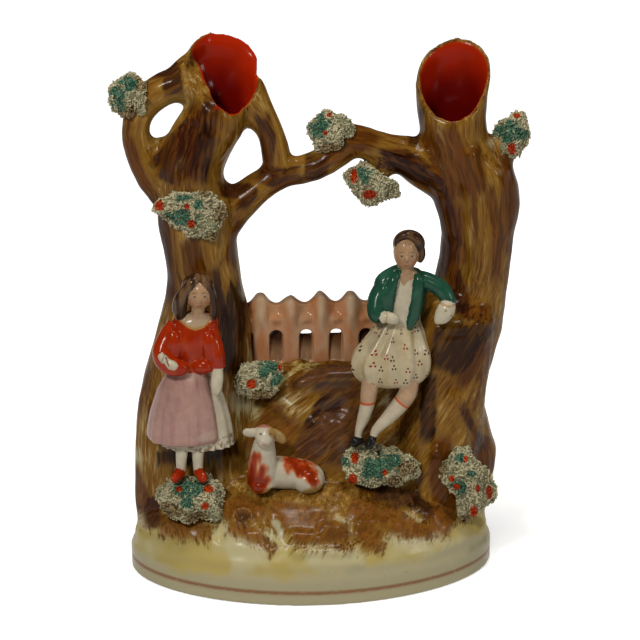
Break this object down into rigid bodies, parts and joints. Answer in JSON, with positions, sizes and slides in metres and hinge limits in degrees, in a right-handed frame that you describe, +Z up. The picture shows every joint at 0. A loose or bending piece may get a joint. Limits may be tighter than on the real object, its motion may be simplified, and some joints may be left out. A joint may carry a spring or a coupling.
{
  "type": "spill vase",
  "caption": "Glazed earthenware spill vase: hollow tree trunks joined by a bough arch over a fence, with a girl, a boy and a lamb on an oval plinth.",
  "frame": {"origin": "middle of the oval foot, on the surface that it stands on", "axes": "+Z up, +X to the viewer's right, -Y towards the front where the figures stand"},
  "size_m": [0.192, 0.104, 0.2482],
  "materials": {
    "white_glaze": "glossy white glaze",
    "bisque_foot": "dry unglazed foot",
    "painted_ground": "glossy, brown strokes fading to yellow-green",
    "bark_paint": "glossy, brown brush strokes along the wood",
    "salmon_paint": "glossy salmon wash over white",
    "red_paint": "glossy orange-red",
    "pink_paint": "glossy mauve pink wash",
    "flesh_paint": "glossy flesh tint with painted hair",
    "black_paint": "glossy black",
    "sprigged_white": "glossy white with small dotted sprigs",
    "green_paint": "glossy emerald green",
    "patched_white": "glossy white with orange-red patches",
    "moss_clay": "glossy shredded clay, touched with green and red"
  },
  "bodies": {
    "root": {"plinth": "white_glaze", "base_plate": "bisque_foot", "mound": "painted_ground", "rock_bank": "painted_ground", "stump": "bark_paint", "left_trunk": "bark_paint", "left_outer_bough": "bark_paint", "left_inner_bough": "bark_paint", "left_arch_bough": "bark_paint", "right_arch_bough": "bark_paint", "right_trunk": "bark_paint", "right_spur": "bark_paint", "arch_spur": "bark_paint", "fence": "salmon_paint", "girl_right_shoe": "red_paint", "girl_left_shoe": "red_paint", "girl_right_leg": "white_glaze", "girl_left_leg": "white_glaze", "girl_petticoat": "white_glaze", "girl_skirt": "pink_paint", "girl_bodice": "red_paint", "girl_right_arm": "red_paint", "girl_left_arm": "red_paint", "girl_head": "flesh_paint", "boy_right_shoe": "black_paint", "boy_left_shoe": "black_paint", "boy_right_leg": "white_glaze", "boy_left_leg": "white_glaze", "boy_kilt": "sprigged_white", "boy_shirt": "white_glaze", "boy_jacket": "green_paint", "boy_right_arm": "green_paint", "boy_left_arm": "green_paint", "boy_head": "flesh_paint", "lamb_body": "patched_white", "lamb_head": "patched_white", "lamb_right_ear": "patched_white", "lamb_left_ear": "patched_white", "moss_left_elbow": "moss_clay", "moss_left_trunk": "moss_clay", "moss_arch": "moss_clay", "moss_hanging": "moss_clay", "moss_right_spur": "moss_clay", "moss_fence": "moss_clay", "moss_girl": "moss_clay", "moss_boy": "moss_clay", "moss_right_base": "moss_clay"}
  },
  "joints": []
}
